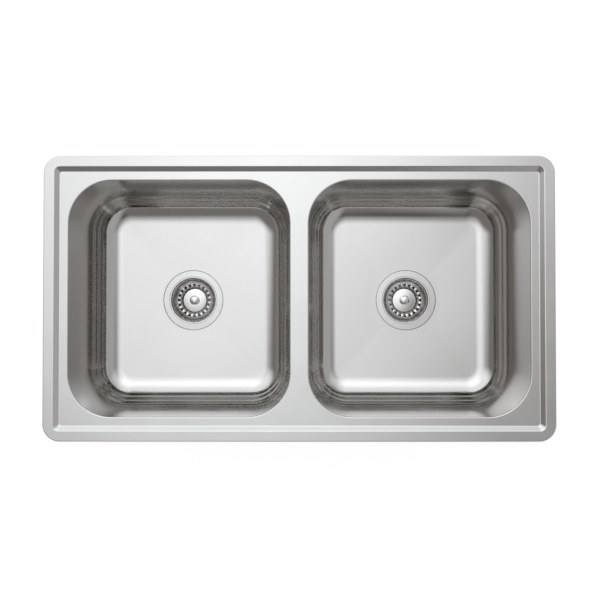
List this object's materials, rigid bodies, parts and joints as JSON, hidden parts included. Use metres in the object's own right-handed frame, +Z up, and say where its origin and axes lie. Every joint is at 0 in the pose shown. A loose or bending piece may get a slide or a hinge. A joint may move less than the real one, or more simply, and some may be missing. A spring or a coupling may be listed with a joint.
{
  "type": "double-bowl inset kitchen sink",
  "caption": "Inset stainless kitchen sink: raised rim, recessed deck, drawn bowls with a stepped ring, lift-out basket strainers, and swinging clips that hold it in a worktop.",
  "frame": {"origin": "centre of the rim, on the worktop plane where the seal rests", "axes": "+X to the right along the length, +Y to the rear, +Z up"},
  "size_m": [0.86, 0.48, 0.246],
  "materials": {
    "deck_steel": "satin brushed",
    "bowl_steel": "satin brushed",
    "strainer_steel": "polished",
    "basket_steel": "polished",
    "cap_steel": "polished",
    "lug_steel": "mill finish",
    "clip_steel": "zinc plated",
    "seal_foam": "closed-cell foam",
    "pad_rubber": "matt",
    "black_rubber": "satin",
    "nut_plastic": "moulded"
  },
  "bodies": {
    "sink": {"sink_deck": "deck_steel", "rim_seal": "seal_foam", "strainer_bodies": "strainer_steel", "floor_gaskets": "black_rubber", "ring_nuts": "nut_plastic", "clip_lugs": "lug_steel", "left_bowl": "bowl_steel", "left_sound_pads": "pad_rubber", "right_bowl": "bowl_steel", "right_sound_pads": "pad_rubber"},
    "left_basket": {"left_basket_cage": "basket_steel", "left_lift_cap": "cap_steel", "left_stopper": "black_rubber"},
    "right_basket": {"right_basket_cage": "basket_steel", "right_lift_cap": "cap_steel", "right_stopper": "black_rubber"},
    "front_left_screw": {"front_left_clip_screw": "clip_steel"},
    "front_left_arm": {"front_left_clip_arm": "clip_steel"},
    "front_right_screw": {"front_right_clip_screw": "clip_steel"},
    "front_right_arm": {"front_right_clip_arm": "clip_steel"},
    "rear_left_screw": {"rear_left_clip_screw": "clip_steel"},
    "rear_left_arm": {"rear_left_clip_arm": "clip_steel"},
    "rear_right_screw": {"rear_right_clip_screw": "clip_steel"},
    "rear_right_arm": {"rear_right_clip_arm": "clip_steel"},
    "left_end_screw": {"left_end_clip_screw": "clip_steel"},
    "left_end_arm": {"left_end_clip_arm": "clip_steel"},
    "right_end_screw": {"right_end_clip_screw": "clip_steel"},
    "right_end_arm": {"right_end_clip_arm": "clip_steel"}
  },
  "joints": [
    {"name": "left_basket_lift", "type": "slide", "parent": "sink", "child": "left_basket", "axis": [0, 0, 1], "range_m": [0, 0.1]},
    {"name": "right_basket_lift", "type": "slide", "parent": "sink", "child": "right_basket", "axis": [0, 0, 1], "range_m": [0, 0.1]},
    {"name": "front_left_clip_draw", "type": "slide", "parent": "sink", "child": "front_left_screw", "axis": [0, 0, 1], "range_m": [0, 0.014]},
    {"name": "front_left_clip_swing", "type": "hinge", "parent": "front_left_screw", "child": "front_left_arm", "pos_m": [-0.2025, -0.216, -0.0555], "axis": [0, 0, 1], "range_deg": [0, 90]},
    {"name": "front_right_clip_draw", "type": "slide", "parent": "sink", "child": "front_right_screw", "axis": [0, 0, 1], "range_m": [0, 0.014]},
    {"name": "front_right_clip_swing", "type": "hinge", "parent": "front_right_screw", "child": "front_right_arm", "pos_m": [0.2025, -0.216, -0.0555], "axis": [0, 0, 1], "range_deg": [0, 90]},
    {"name": "rear_left_clip_draw", "type": "slide", "parent": "sink", "child": "rear_left_screw", "axis": [0, 0, 1], "range_m": [0, 0.014]},
    {"name": "rear_left_clip_swing", "type": "hinge", "parent": "rear_left_screw", "child": "rear_left_arm", "pos_m": [-0.2025, 0.216, -0.0555], "axis": [0, 0, 1], "range_deg": [0, 90]},
    {"name": "rear_right_clip_draw", "type": "slide", "parent": "sink", "child": "rear_right_screw", "axis": [0, 0, 1], "range_m": [0, 0.014]},
    {"name": "rear_right_clip_swing", "type": "hinge", "parent": "rear_right_screw", "child": "rear_right_arm", "pos_m": [0.2025, 0.216, -0.0555], "axis": [0, 0, 1], "range_deg": [0, 90]},
    {"name": "left_end_clip_draw", "type": "slide", "parent": "sink", "child": "left_end_screw", "axis": [0, 0, 1], "range_m": [0, 0.014]},
    {"name": "left_end_clip_swing", "type": "hinge", "parent": "left_end_screw", "child": "left_end_arm", "pos_m": [-0.406, 0, -0.0555], "axis": [0, 0, 1], "range_deg": [0, 90]},
    {"name": "right_end_clip_draw", "type": "slide", "parent": "sink", "child": "right_end_screw", "axis": [0, 0, 1], "range_m": [0, 0.014]},
    {"name": "right_end_clip_swing", "type": "hinge", "parent": "right_end_screw", "child": "right_end_arm", "pos_m": [0.406, 0, -0.0555], "axis": [0, 0, 1], "range_deg": [0, 90]}
  ]
}
